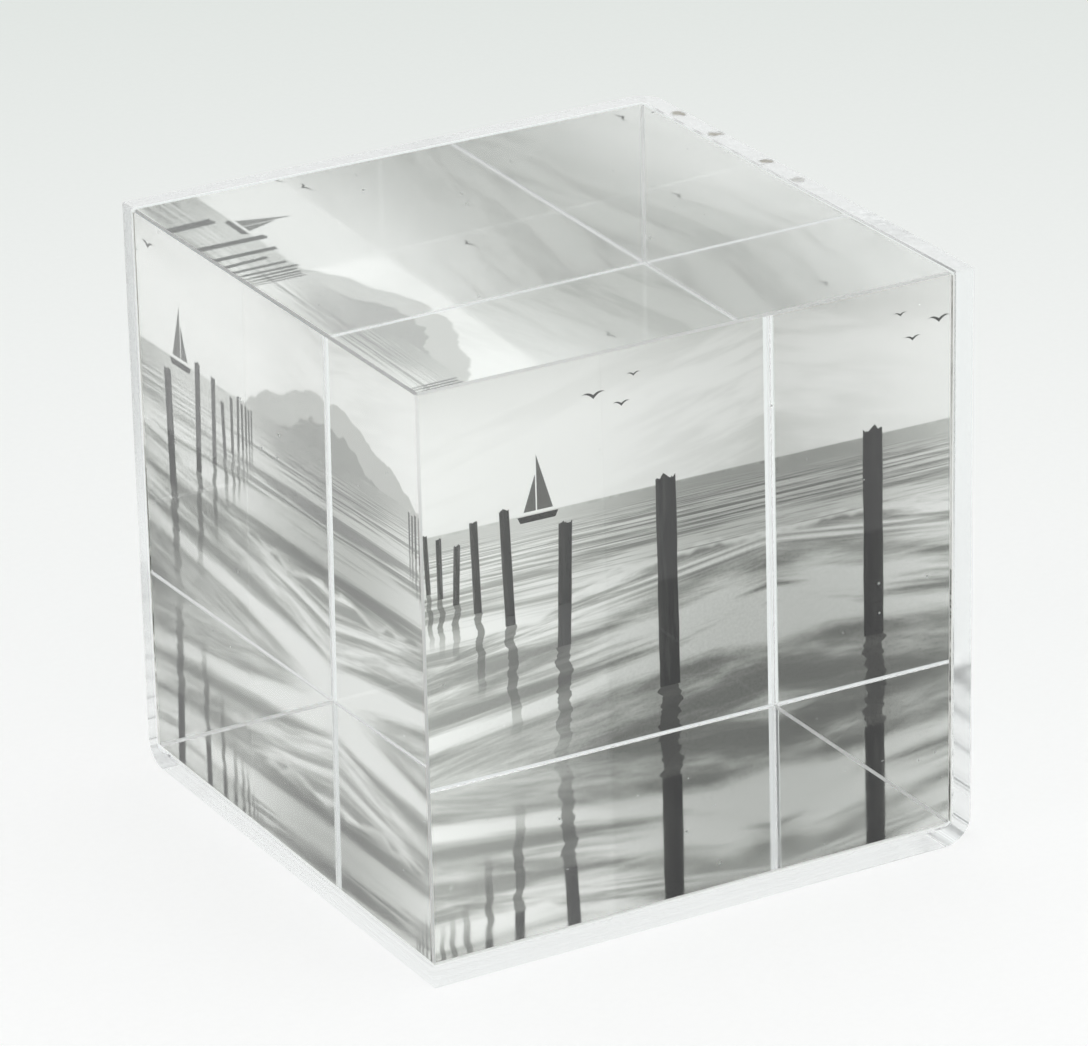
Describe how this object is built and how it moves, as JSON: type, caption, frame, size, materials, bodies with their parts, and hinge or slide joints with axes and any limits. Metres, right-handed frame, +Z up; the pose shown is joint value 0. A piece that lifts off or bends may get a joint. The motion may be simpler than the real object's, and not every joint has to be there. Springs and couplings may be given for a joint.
{
  "type": "acrylic block frame",
  "caption": "Clear acrylic photo frame: a solid cube stands in a rounded corner tray, with photo prints slipped between the cube and the tray walls.",
  "frame": {"origin": "middle of the underside of the whole object, on the surface that it stands on", "axes": "+Z up. The bare faces of the block look to -X, -Y and +Z. The tray's side wall is at +X, its back wall at +Y and its floor below."},
  "size_m": [0.0794, 0.0794, 0.0795],
  "materials": {
    "block_acrylic": "polished",
    "tray_acrylic": "polished",
    "photo_paper": "gloss"
  },
  "bodies": {
    "tray": {"corner_tray": "tray_acrylic"},
    "block": {"solid_block": "block_acrylic"},
    "back_photo": {"back_print": "photo_paper"},
    "side_photo": {"side_print": "photo_paper"},
    "base_photo": {"base_print": "photo_paper"}
  },
  "joints": [
    {"name": "block_lift", "type": "slide", "parent": "tray", "child": "block", "axis": [0, 0, 1], "range_m": [0, 0.08]},
    {"name": "back_print_lift", "type": "slide", "parent": "tray", "child": "back_photo", "axis": [0, 0, 1], "range_m": [0, 0.08]},
    {"name": "side_print_lift", "type": "slide", "parent": "tray", "child": "side_photo", "axis": [0, 0, 1], "range_m": [0, 0.08]},
    {"name": "base_print_pull", "type": "slide", "parent": "tray", "child": "base_photo", "axis": [0, -1, 0], "range_m": [0, 0.08]}
  ]
}
